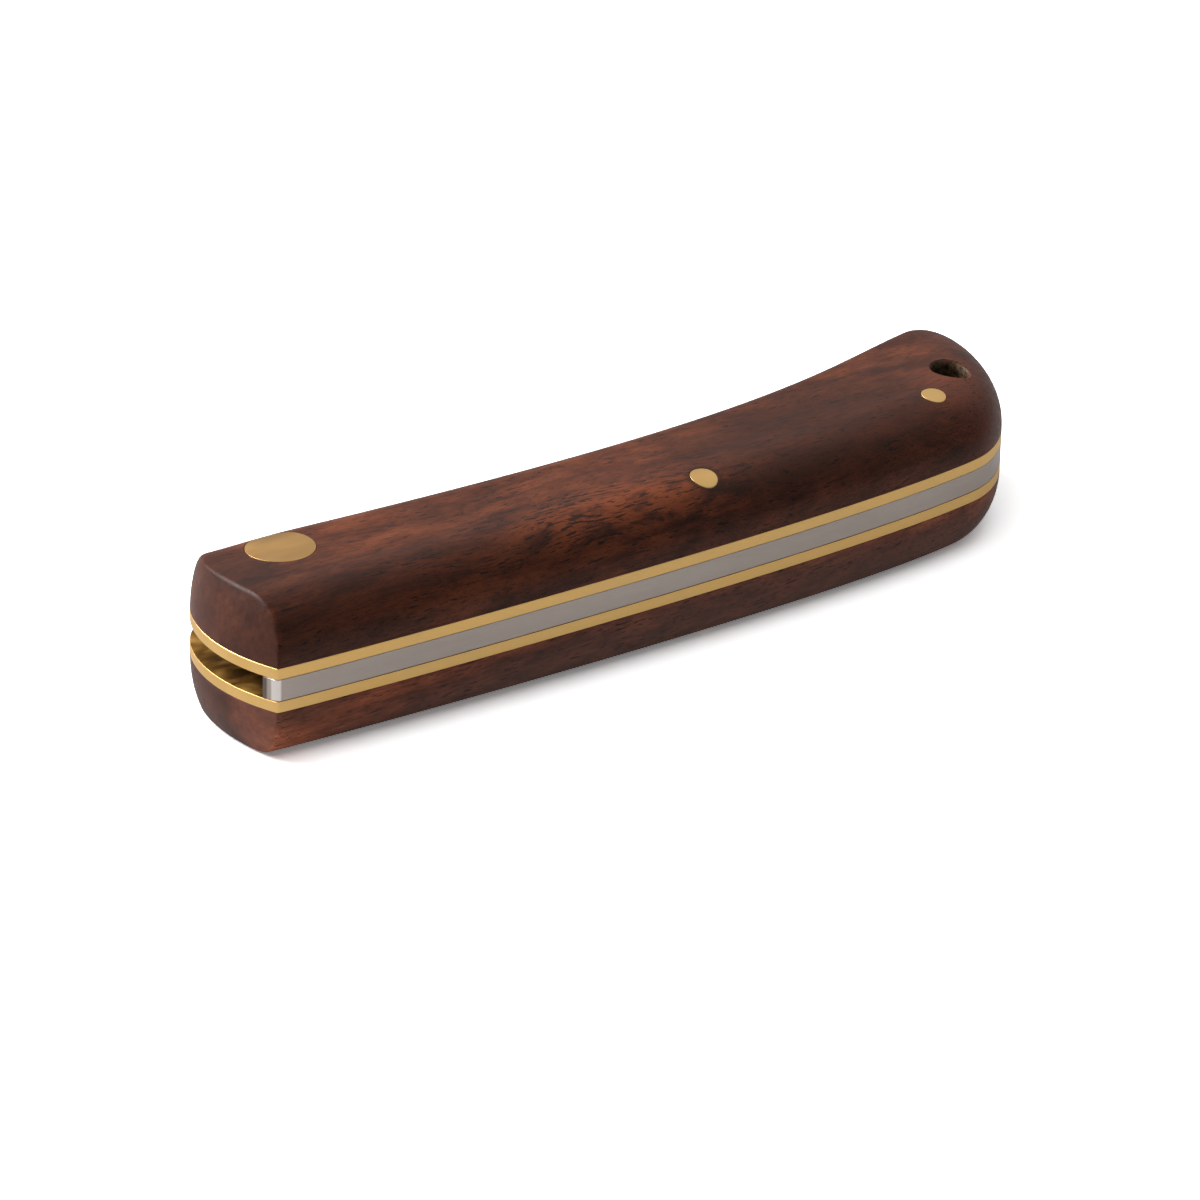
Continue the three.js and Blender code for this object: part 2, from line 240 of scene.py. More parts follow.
# Where the wood changes: centre, size to each side, the shares of that size where the change starts
# and is full, and its strength
THROUGH = 500                       # a size that reaches past the handle
RED_GLOW = ((46, 1.2, 7.5), (17, 5, 4), (1.2, 0.4), 0.85)
FAINT_GLOW = ((20, -0.5, 5.5), (16, 4, 4), (1.2, 0.4), 0.51)
DULL_STRETCH = ((73.5, 5.5, 10), (18.5, 8, 5), (1.35, 0.5), 0.72)
# Painted reflection and shade: the lower scale's underside greyer and darker, as if it mirrored the cool
# floor in its shadow
UNDERSIDE_PAINTED_REFLECTION = ((58, 2, -6), (55, 8, 5), (1.1, 0.6), 0.6)
WARM_BUTT = ((98, 5, 6), (11, 9, 5), (1.2, 0.4), 0.55)
DARK_BAND = ((22, 4.3, 8.5), (22, 2.2, 9), (1.15, 0.3), 0.22)
DARK_PIVOT_END = ((0, 1.5, 6.5), (26, 5.5, 9), (1.2, 0.5), 0.35)
DARK_BY_BOLSTER = ((2.5, 11, 9.5), (4.6, 7, 3), (1.2, 0.5), 0.63)
# Painted shade: a darker strip of the lower scale just below its brass liner, near the pivot end
SHADE_BELOW_LINER = ((1.5, 0, -3), (8, 6, 2.2), (1.2, 0.4), 0.5)
MORE_BOLD_PORES = ((42, 3.0, 8.5), (24, 4.2, 9), (1.2, 0.5), 0.07)
LINES_TOWARDS_BUTT = ((68, 6, 9), (16, 5, 6), (1.2, 0.5), 0.6)
# Where the painted light along a scale's back lies
BACK_LIGHT_REGION = ((50, -1, 0), (THROUGH, 7.2, THROUGH), (1.2, 0.6))

# Painted shade in the lanyard hole, which darkens its inside in olive browns, and the dark oil round the
# centre pin
BORE_LINING = 0.35
BORE_EDGE = (1.0, 0.93)
BORE_SHARE = 0.9
BORE_SHADE_TONES = ((0.4, (46, 35, 26)), (0.6, (122, 102, 78)))
HALO_SIZE = (2.5, 2.1, 60)
HALO_RAGGEDNESS = 0.7
HALO_EDGE = (1.36, 1.12)
HALO_SHARE = 0.55
HALO_COLOUR = (32, 14, 9)

# Metals: two colours, the range of roughness, and cycles per metre along each axis
LINER_BRASS = ((252, 204, 126), (255, 212, 138))
PIN_BRASS = ((224, 180, 112), (236, 195, 128))
BOLSTER_BRASS = ((214, 166, 102), (224, 178, 114))
BRASS_ROUGHNESS = (0.34, 0.46)
BRASS_SCRATCHES = (150, 6000, 6000)
BRASS_PATCHES = (120, 300, 300)
STAIN_SWIRLS = (260, 420, 420)
STAIN_TONES = ((0.34, (104, 74, 32)), (0.5, (158, 118, 56)), (0.66, (206, 166, 92)))
STAIN_ROUGHER = 0.3
STAIN_EDGE = (0.03, 0.01)           # above a liner's inner face, where the stain starts and is full
STEEL = ((188, 175, 167), (197, 184, 176))
STEEL_ROUGHNESS = (0.28, 0.4)
STEEL_LINES = (90, 14000, 14000)
STEEL_PATCHES = (60, 500, 500)
SPRING_END_PAINTED_SHADE = ((-1.3, 2.6, 0), (1.7, 1.75, 60), (1.0, 0.85), 0.8)      # painted shade on the spring's end face, standing in for the shade between the liners; given as for the wood
SPRING_END_SHADE_COLOUR = (96, 88, 82)
# Painted highlight: the spring's rounded front corner lighter, as if it mirrored the bright floor beside it
CORNER_PAINTED_HIGHLIGHT = ((0.0, 0.3, 0), (0.45, 0.62, 60), (1.2, 0.8))
CORNER_HIGHLIGHT_COLOUR = (248, 240, 234)
BLADE_STEEL = ((190, 188, 187), (204, 202, 200))
BLADE_ROUGHNESS = (0.24, 0.36)
BLADE_LINES = (7000, 90, 7000)
BLADE_PATCHES = (200, 60, 60)
BRASS_RELIEF = (0.02, 0.5)
STEEL_RELIEF = (0.03, 0.35)
BLADE_RELIEF = (0.03, 0.5)

# The photograph's camera: where it stands round the corner of the handle, and where it sees that corner
IMAGE_SIZE = 1200
CAMERA_AZIMUTH = -37.166
CAMERA_ELEVATION = 25.833
CAMERA_ROLL = 1.471
CAMERA_DISTANCE = 711.7
FOCAL_PIXELS = 7003.75
CORNER_PIXEL = (277.8, 691.5)
SENSOR_WIDTH = 36.0
CLIP_START, CLIP_END = 0.01, 20

# Floor, room and lamps
HANDLE_MIDDLE = (45, 10, 0)
FLOOR_REACH = 3000
FLOOR_GAP = 0.02
FLOOR_GRAIN = 300
FLOOR_PAPER = ((243, 244, 244), (247, 248, 248))
FLOOR_TO_CAMERA = 1.7       # how much whiter the camera sees the floor
FLOOR_GREY = (198, 198, 200)
FLOOR_IN_METAL = (176, 176, 176)
FLOOR_GLOW_IN_METAL = 0.03
FLOOR_FADE = (200, 600)     # how far from the knife the floor turns plain white
SHADOW_FILL = 0.18          # the least that the camera sees of the floor, in the knife's shadow
ROOM_LIGHT = (0.3, 0.85)    # what metal sees, at the horizon and overhead
SKY_LIGHT = (0.03, 0.2)     # what falls on the rest, at the horizon and overhead
HORIZON, OVERHEAD = 0.1, 0.8        # how far up a direction points there
ROOM_IN_FRONT = 0.5         # the share of both that comes from the front, towards -Y
FRONT, REAR = -0.6, 0.3     # how far towards +Y a direction points there
LAMP_DISTANCE = 0.9         # like the lamps' sizes, in metres
KEY_DIRECTION, KEY_SIZE, KEY_POWER = (-0.52, 0.58, 0.63), 0.6, 10.5
FLOOR_LAMP_DIRECTION, FLOOR_LAMP_SIZE, FLOOR_LAMP_POWER = (-0.1, -0.26, 0.9), 0.95, 6.2

pin_low, pin_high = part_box("pivot_pin")
ORIGIN = (pin_low + pin_high) / 2 - PIVOT.to_3d() * MM


def place(point):
    return Vector(point) * MM + ORIGIN


# Curves of the outline

def heading(degrees, length):
    return Vector((math.cos(math.radians(degrees)), math.sin(math.radians(degrees)))) * length


def bezier(start, end, leave, arrive):
    """A curve from start to end that holds each heading for a share of the chord."""
    chord = (end - start).length
    first = start + heading(leave[0], leave[1] * chord)
    second = end - heading(arrive[0], arrive[1] * chord)

    def point(t):
        u = 1 - t
        return start * u ** 3 + first * (3 * u * u * t) + second * (3 * u * t * t) + end * t ** 3
    return point


def smoothstep(value, low, high):
    t = min(max((value - low) / (high - low), 0.0), 1.0)
    return t * t * (3 - 2 * t)


liner_end = bezier(Vector((PIVOT_END_SETBACK, PIVOT_END_WIDTH)), Vector((0, 0)), END_LEAVE, END_ARRIVE)


def bisect(before, low, high):
    """Where before() stops being true, between low, where it is, and high, where it isn't."""
    for _ in range(BISECTIONS):
        middle = (low + high) / 2
        if before(middle):
            low = middle
        else:
            high = middle
    return high


def end_x(y):
    """Where the liner's pivot end crosses y."""
    return liner_end(bisect(lambda t: liner_end(t).y > y, 0.3, 1.0)).x


def handle_sides(share=0.0, lean=0.0, side=1):
    """The handle's four sides, drawn in by a share of the dome's width: 0 is the edge, 1 the top.

    lean is how far the pivot end leans in there.
    """
    corner_y = DOME_AT_CORNER[side] * share
    corner = Vector((end_x(corner_y) + lean, corner_y)) if share else Vector((0, 0))
    turn = Vector((BACK_LENGTH - DOME_AT_TURN * share, BACK_RISE + DOME_AT_BUTT[side] * share))
    toe = Vector((TOE_X, BUTT_WIDTH)) - DOME_AT_TOE * share
    far_corner = Vector((PIVOT_END_SETBACK, PIVOT_END_WIDTH)) - DOME_AT_FAR_CORNER * share
    arrive = END_ARRIVE[0] + (END_ARRIVE_AT_TOP - END_ARRIVE[0]) * share
    return {
        "back": bezier(corner, turn, BACK_LEAVE, BACK_ARRIVE),
        "butt": bezier(turn, toe, BUTT_LEAVE, BUTT_ARRIVE),
        "belly": bezier(toe, far_corner, BELLY_LEAVE, BELLY_ARRIVE),
        "end": bezier(far_corner, corner, END_LEAVE, (arrive, END_ARRIVE[1])),
    }


def reach_at(curve, corner, distance, low, high):
    """The parameter between low and high where the curve is that far from the corner; high is farther."""
    return bisect(lambda t: (curve(t) - corner).length < distance, low, high)


def dome_level(step):
    """The share of the dome's width and the height above the middle, for one of its rings."""
    angle = step / DOME_RINGS * math.pi / 2
    share = 1 - max(math.cos(angle), 0.0) ** DOME_POWER
    return share, LINER_OUTER + SCALE_HEIGHT * math.sin(angle) ** DOME_POWER


def depth_under_dome(point, height, side):
    """How deep a point lies under the dome's edge or top, seen along the handle."""
    profile = [Vector((0, 0))]
    for step in range(DOME_RINGS + 1):
        share, level = dome_level(step)
        profile.append(Vector((DOME_AT_CORNER[side] * share, level)))
    profile.append(Vector((PIVOT_END_WIDTH, SCALE_OUTER)))
    spot = Vector((point.y, height))
    depths = []
    for first, second in zip(profile, profile[1:]):
        along = second - first
        t = min(max((spot - first).dot(along) / along.length_squared, 0.0), 1.0)
        depths.append((spot - first - along * t).length)
    return min(depths)


def handle_outline(share=0.0, height=0.0, side=1):
    """One closed ring round the handle at a height, with the ridge round the pivot end rounded."""
    rise = max(height - LINER_OUTER, 0.0) / SCALE_HEIGHT
    ridge = RIDGE_AT_LINER + (RIDGE_AT_TOP - RIDGE_AT_LINER) * min(rise / RIDGE_FULL_RISE, 1.0)
    sides = handle_sides(share, END_LEAN * rise ** END_LEAN_POWER[side], side)
    back, end = sides["back"], sides["end"]
    corner = back(0)
    start = reach_at(back, corner, ridge, 0.0, 0.5)
    stop = reach_at(end, corner, RIDGE_REACH, 1.0, 0.5)
    points = []
    spans = {"back": (start, 1.0), "butt": (0.0, 1.0), "belly": (0.0, 1.0)}
    for name, (first, last) in spans.items():
        count = OUTLINE_POINTS[name]
        points += [sides[name](first + (last - first) * i / count) for i in range(count)]
    count = OUTLINE_POINTS["end"]
    along_end = [stop * i / count for i in range(count)]
    for i in range(RIDGE_POINTS):
        distance = RIDGE_REACH * (1 - i / RIDGE_POINTS) ** 2
        along_end.append(reach_at(end, corner, distance, 1.0, 0.5))
    for t in along_end:
        point = end(t)
        gap = ridge - depth_under_dome(point, height, side)
        eased = ridge - math.sqrt(ridge ** 2 - gap ** 2) if gap > 0 else 0.0
        points.append(point + Vector((eased * smoothstep(t, 0.0, RIDGE_EASE), 0)))
    return points


def inset(points, distance):
    """A closed ring moved inwards, for a ring that runs counter-clockwise."""
    moved = []
    for i, point in enumerate(points):
        along = (points[(i + 1) % len(points)] - points[i - 1]).normalized()
        moved.append(point + Vector((-along.y, along.x)) * distance)
    return moved


def spline(points, count):
    """A smooth curve through points, as count steps between the first and the last."""
    made = []
    for i in range(count + 1):
        place_on = (len(points) - 1) * i / count
        index = min(int(place_on), len(points) - 2)
        t = place_on - index
        p0, p1 = points[max(index - 1, 0)], points[index]
        p2, p3 = points[index + 1], points[min(index + 2, len(points) - 1)]
        v0, v1 = (p2 - p0) / 2, (p3 - p1) / 2
        made.append(
            (2 * p1 - 2 * p2 + v0 + v1) * t ** 3 + (3 * p2 - 3 * p1 - 2 * v0 - v1) * t ** 2
            + v0 * t + p1)
    return made


def arc(centre, radius, first, last, steps):
    """Points on an arc, both ends included; angles in degrees."""
    return [centre + heading(first + (last - first) * i / steps, radius) for i in range(steps + 1)]


def circle(centre, radius):
    return arc(centre, radius, 0, 360 - 360 / ROUND_SIDES, ROUND_SIDES - 1)


# Meshes

def mesh_object(name, vertices, faces):
    mesh = bpy.data.meshes.new(name)
    mesh.from_pydata([place(v) for v in vertices], [], faces)
    shape = bmesh.new()
    shape.from_mesh(mesh)
    bmesh.ops.recalc_face_normals(shape, faces=shape.faces)
    shape.to_mesh(mesh)
    shape.free()
    made = bpy.data.objects.new(name, mesh)
    bpy.context.scene.collection.objects.link(made)
    return made


def loft(rings):
    """Vertices and faces of a skin over closed rings of equal size, with a cap at both ends."""
    size = len(rings[0])
    vertices = [v for ring in rings for v in ring]
    faces = []
    for r in range(len(rings) - 1):
        for i in range(size):
            a, b = r * size + i, r * size + (i + 1) % size
            faces.append((a, b, b + size, a + size))
    faces.append(tuple(reversed(range(size))))
    faces.append(tuple(range((len(rings) - 1) * size, len(rings) * size)))
    return vertices, faces


def flat_ring(points, z):
    return [Vector((p.x, p.y, z)) for p in points]


def plate(name, outline, bottom, top, edge):
    """A flat plate with a broken edge all round."""
    inner = inset(outline, edge)
    rings = [
        flat_ring(inner, bottom), flat_ring(outline, bottom + edge),
        flat_ring(outline, top - edge), flat_ring(inner, top)]
    return mesh_object(name, *loft(rings))


def combine(piece, other, operation):
    """Cuts or joins with another object, which is used up."""
    step = piece.modifiers.new(operation, "BOOLEAN")
    step.operation = operation
    step.solver = "EXACT"
    step.object = other
    evaluated = piece.evaluated_get(bpy.context.evaluated_depsgraph_get())
    mesh = bpy.data.meshes.new_from_object(evaluated)
    piece.modifiers.clear()
    piece.data = mesh
    bpy.data.objects.remove(other)
    return piece


def cylinder(at, radius, bottom, top):
    ring = circle(at, radius)
    return mesh_object("cutter", *loft([flat_ring(ring, bottom), flat_ring(ring, top)]))


def shade(piece):
    """Smooth shading that keeps the sharp edges."""
    shape = bmesh.new()
    shape.from_mesh(piece.data)
    bmesh.ops.remove_doubles(shape, verts=shape.verts, dist=MERGE_DISTANCE)
    for face in shape.faces:
        face.smooth = True
    for edge in shape.edges:
        edge.smooth = len(edge.link_faces) == 2 and edge.calc_face_angle() < math.radians(SHARP_ANGLE)
    shape.to_mesh(piece.data)
    shape.free()


def mount(piece, body, node, material):
    """Finishes a piece: shading, material, the body it rides on and the CAD node it stands for."""
    shade(piece)
    piece.data.materials.clear()
    piece.data.materials.append(material)
    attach(piece, body)
    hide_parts(node)


# The domes

def settled(point, height, side):
    """A point of a dome, a little lower towards the far corner of the pivot end."""
    rise = (height - LINER_OUTER) / SCALE_HEIGHT
    drop = FAR_CORNER_DROP * smoothstep(point.y, *DROP_Y) * smoothstep(DROP_X - point.x, 0, DROP_X)
    return Vector((point.x, point.y, side * (height - drop * rise)))


def dome_rings(side):
    """Rings of one dome, from the liner to inside its top. side is 1 above, -1 below."""
    rings = []
    for step in range(DOME_RINGS + 1):
        share, height = dome_level(step)
        outline = handle_outline(share, height, side)
        if step == 0:
            rings.append(flat_ring(inset(outline, WOOD_EDGE), side * height))
            height += WOOD_EDGE
        rings.append([settled(point, height, side) for point in outline])
    sides = handle_sides(1.0, END_LEAN, side)
    along = [i / MIDLINE_POINTS for i in range(2, MIDLINE_POINTS - 2)]
    middle = [(sides["back"](t) + sides["belly"](1 - t)) / 2 for t in along]
    for share in DOME_CAP_RINGS:
        ring = []
        for point in outline:
            towards = min(middle, key=lambda spot: abs(spot.x - point.x))
            ring.append(settled(point.lerp(towards, share), SCALE_OUTER, side))
        rings.append(ring)
    return rings


domes = {side: BVHTree.FromPolygons(*loft(dome_rings(side))) for side in (1, -1)}


def dome_height(x, y, side):
    """Height of the handle's surface above the middle of the thickness, on either side."""
    hit = domes[side].ray_cast(Vector((x, y, side * 2 * SCALE_OUTER)), Vector((0, 0, -side)))[0]
    return side * hit.z if hit else LINER_OUTER


def on_dome(points, drop, side):
    """Points of a plan, set a little below the dome's surface."""
    return [Vector((p.x, p.y, side * (dome_height(p.x, p.y, side) - drop))) for p in points]


def drilled(at, radius, flare, flare_depth, side):
    """A cutter for a round hole whose rounded mouth follows the dome."""
    rings = []
    for angle in MOUTH_ANGLES:
        swing = math.radians(angle)
        ring = circle(at, radius + flare * (1 - math.sin(swing)))
        if not rings:
            rings.append(on_dome(ring, -CLEAR, side))
        rings.append(on_dome(ring, flare_depth * (1 - math.cos(swing)), side))
    rings.append(flat_ring(ring, side * SLOT_HALF))
    return mesh_object("cutter", *loft(rings))


def scale(name, side):
    """A wooden scale with its holes."""
    piece = mesh_object(name, *loft(dome_rings(side)))
    holes = [
        (PIVOT, BOLSTER_RADIUS + SNUG, PIN_EDGE, PIN_EDGE),
        (CENTRE_PIN, PIN_RADIUS + SNUG, PIN_EDGE, PIN_EDGE),
        (BUTT_PIN, BUTT_PIN_RADIUS + SNUG, PIN_EDGE, PIN_EDGE),
        (LANYARD, LANYARD_RADIUS, LANYARD_FLARE, LANYARD_FLARE_DEPTH),
    ]
    for at, radius, flare, flare_depth in holes:
        combine(piece, drilled(at, radius, flare, flare_depth, side), "DIFFERENCE")
    return piece


def end_rings(at, radius, side):
    """Rings of a pin's end, from the middle outwards, lying in the dome's surface."""
    rings = [on_dome(circle(at, radius * share), 0.0, side) for share in PIN_RING_SHARES]
    for angle in PIN_EDGE_ANGLES:
        swing = math.radians(angle)
        ring = circle(at, radius - PIN_EDGE * (1 - math.sin(swing)))
        rings.append(on_dome(ring, PIN_EDGE * (1 - math.cos(swing)), side))
    return rings


def through_pin(name, at, radius):
    return mesh_object(name, *loft(end_rings(at, radius, 1) + end_rings(at, radius, -1)[::-1]))


def bolster(name, side):
    seat = flat_ring(circle(PIVOT, BOLSTER_RADIUS), side * LINER_OUTER)
    return mesh_object(name, *loft(end_rings(PIVOT, BOLSTER_RADIUS, side) + [seat]))


# Liners, spring and blade

def liner(name, side):
    outline = handle_outline()
    low, high = sorted((side * SLOT_HALF, side * LINER_OUTER))
    piece = plate(name, outline, low, high, LINER_EDGE)
    holes = [
        (PIVOT, PIVOT_PIN_RADIUS + SNUG), (CENTRE_PIN, PIN_RADIUS + SNUG),
        (BUTT_PIN, BUTT_PIN_RADIUS + SNUG), (LANYARD, LANYARD_RADIUS)]
    for at, radius in holes:
        combine(piece, cylinder(at, radius, low - CLEAR, high + CLEAR), "DIFFERENCE")
    return piece


def height_at(curve, x):
    """Where a side's curve crosses x, for a side that runs one way along x."""
    low, high = (0.0, 1.0) if curve(0).x < curve(1).x else (1.0, 0.0)
    return curve(bisect(lambda t: curve(t).x < x, low, high)).y


def end_heading():
    """The heading of the pivot end where it meets the back."""
    just_before = 0.999
    return (liner_end(1) - liner_end(just_before)).normalized()


def spring_outline():
    """Round the back and the butt to the end of the blade slot, and back along the inside."""
    sides = handle_sides()
    back, butt, belly = sides["back"], sides["butt"], sides["belly"]
    slot_end = TOE_X - BLOCK_FROM_TOE
    pad_y = PIVOT.y - TANG_FLAT
    pad_end = PIVOT.x + PAD_AHEAD
    arm_start = pad_end + ARM_DEPTH
    arm_end = (CENTRE_PIN.x + arm_start) / 2 + ARM_DEPTH
    shares = [i / SLOT_SEARCH_STEPS for i in range(SLOT_SEARCH_STEPS)]
    slot_share = next(share for share in shares if belly(share).x < slot_end)
    inside = spline([
        Vector((slot_end, (BUTT_WIDTH + BUTT_PIN.y) / 2)),
        Vector((BUTT_PIN.x - PIN_RADIUS, BUTT_PIN.y + PIN_RADIUS + PIN_WALL)),
        Vector(((BUTT_PIN.x + CENTRE_PIN.x) / 2, CENTRE_PIN.y + PIN_RADIUS + PIN_WALL / 2)),
        Vector((CENTRE_PIN.x, CENTRE_PIN.y + PIN_RADIUS + PIN_WALL)),
        Vector((arm_end, height_at(back, arm_end) + ARM_DEPTH)),
        Vector((arm_start, height_at(back, arm_start) + ARM_DEPTH)),
    ], INSIDE_POINTS)
    corner = back(0)
    start = reach_at(back, corner, NOSE_ALONG_BACK, 0.0, 0.5)
    face = end_heading()
    back_points, butt_points = OUTLINE_POINTS["back"], OUTLINE_POINTS["butt"]
    outline = [back(start + (1 - start) * i / back_points) for i in range(back_points)]
    outline += [butt(i / butt_points) for i in range(butt_points)]
    outline += [belly(slot_share * i / SLOT_END_POINTS) for i in range(SLOT_END_POINTS)]
    outline.append(Vector((slot_end, height_at(belly, slot_end))))
    outline += inside
    outline += [Vector((pad_end, pad_y)), Vector((PIVOT.x - PAD_BACK, pad_y))]
    outline.append(corner - face * NOSE_DEPTH)
    nose_start, nose_end = corner - face * NOSE_ALONG_END, outline[0]
    for i in range(NOSE_POINTS):
        t = i / NOSE_POINTS
        outline.append(nose_start * (1 - t) ** 2 + corner * (2 * t * (1 - t)) + nose_end * t ** 2)
    return outline


def back_spring():
    piece = plate("steel_back_spring", spring_outline(), -SLOT_HALF, SLOT_HALF, SPRING_EDGE)
    for at, radius in ((CENTRE_PIN, PIN_RADIUS), (BUTT_PIN, BUTT_PIN_RADIUS), (LANYARD, LANYARD_RADIUS)):
        combine(piece, cylinder(at, radius, -LINER_OUTER, LINER_OUTER), "DIFFERENCE")
    return piece


def tang_outline():
    """Round at the end, flat towards the spring when closed and when open, notched for its nose."""
    flat = TANG_FLAT - RUNNING_GAP
    sweep = math.degrees(math.acos(flat / TANG_RADIUS))
    face = end_heading()
    away = Vector((-face.y, face.x)) * SEAT_GAP

    def across(point):
        return 2 * PIVOT - point + away
    corner = across(Vector((0, 0)))
    heel = PIVOT.x + EDGE_START
    low = PIVOT.y - flat
    outline = arc(PIVOT, TANG_RADIUS, 90 + sweep, 270 - sweep, TANG_POINTS)
    outline += arc(Vector((heel - CHOIL_RADIUS, low)), CHOIL_RADIUS, 180, 0, CHOIL_POINTS)
    outline += [
        Vector((heel + CHOIL_RADIUS, low)), Vector((heel + CHOIL_RADIUS, BLADE_BACK)),
        Vector((corner.x, BLADE_BACK)), across(-face * NOSE_DEPTH),
        Vector((PIVOT.x + PAD_BACK + SEAT_GAP, PIVOT.y + flat)),
    ]
    return outline


def blade_rings():
    """Sections from the heel to the tip: a wedge with a sharpened edge, under a flat back."""
    heel = Vector((PIVOT.x + EDGE_START, EDGE_INSET))
    tip = Vector((PIVOT.x + BLADE_REACH, TIP_INSET))
    drop = Vector((PIVOT.x + STRAIGHT_BACK, BLADE_BACK))
    edge = bezier(heel, tip, EDGE_LEAVE, EDGE_ARRIVE)
    back = bezier(drop, tip, DROP_LEAVE, DROP_ARRIVE)
    back_start = Vector((heel.x, BLADE_BACK))
    straight = (drop.x - heel.x) / (tip.x - heel.x)
    rings = []
    for i in range(BLADE_STATIONS + 1):
        t = i / BLADE_STATIONS * TIP_SHARE
        low = edge(t)
        if t < straight:
            high = back_start.lerp(drop, t / straight)
        else:
            high = back((t - straight) / (1 - straight))
        across = (high - low).normalized()
        width = (high - low).length
        half = BLADE_HALF + (TIP_HALF - BLADE_HALF) * smoothstep(t, TAPER_START, 1)
        ground = smoothstep(low.x - heel.x, PLUNGE_START, PLUNGE_LENGTH)
        bevel = half + (BEVEL_HALF - half) * ground
        sharp = half + (EDGE_HALF - half) * ground
        bevel_width = min(BEVEL_WIDTH, width * NARROW_SHARE)
        spine = min(SPINE_EDGE, width * NARROW_SHARE)
        shape = [
            (0, sharp), (bevel_width, bevel), (width * GRIND_SHARE, half),
            (width - spine, half), (width, half - spine)]
        right = [Vector((*(low + across * up), out)) for up, out in shape]
        left = [Vector((*(low + across * up), -out)) for up, out in reversed(shape)]
        rings.append(right + left)
    return rings


def nail_nick():
    """A shallow crescent, deepest towards the back."""
    radius = (NICK_LENGTH ** 2 / 4 + NICK_DEPTH ** 2) / (2 * NICK_DEPTH)
    middle = PIVOT.x + NICK_FROM_PIVOT
    high = BLADE_BACK - NICK_FROM_BACK
    low = high - NICK_WIDTH
    above = BLADE_HALF + NICK_CLEAR
    rings = []
    for i in range(NICK_STATIONS + 1):
        x = (2 * i / NICK_STATIONS - 1) * NICK_LENGTH / 2
        depth = math.sqrt(radius ** 2 - x ** 2) - (radius - NICK_DEPTH)
        bottom = BLADE_HALF - max(depth, NICK_LEAST_DEPTH)
        rings.append([
            Vector((middle + x, low, BLADE_HALF)), Vector((middle + x, high, bottom)),
            Vector((middle + x, high, above)), Vector((middle + x, low, above))])
    return mesh_object("cutter", *loft(rings))


def blade():
    piece = mesh_object("drop_point_blade", *loft(blade_rings()))
    combine(piece, plate("cutter", tang_outline(), -BLADE_HALF, BLADE_HALF, SPRING_EDGE), "UNION")
    hole = cylinder(PIVOT, PIVOT_PIN_RADIUS + SNUG, -LINER_OUTER, LINER_OUTER)
    combine(piece, hole, "DIFFERENCE")
    return combine(piece, nail_nick(), "DIFFERENCE")


# Materials

def srgb(red, green, blue):
    """A colour as a picture editor shows it, from 0 to 255, as the linear values that Blender takes."""
    def linear(value):
        value /= 255
        return value / 12.92 if value <= 0.04045 else ((value + 0.055) / 1.055) ** 2.4
    return (linear(red), linear(green), linear(blue), 1.0)


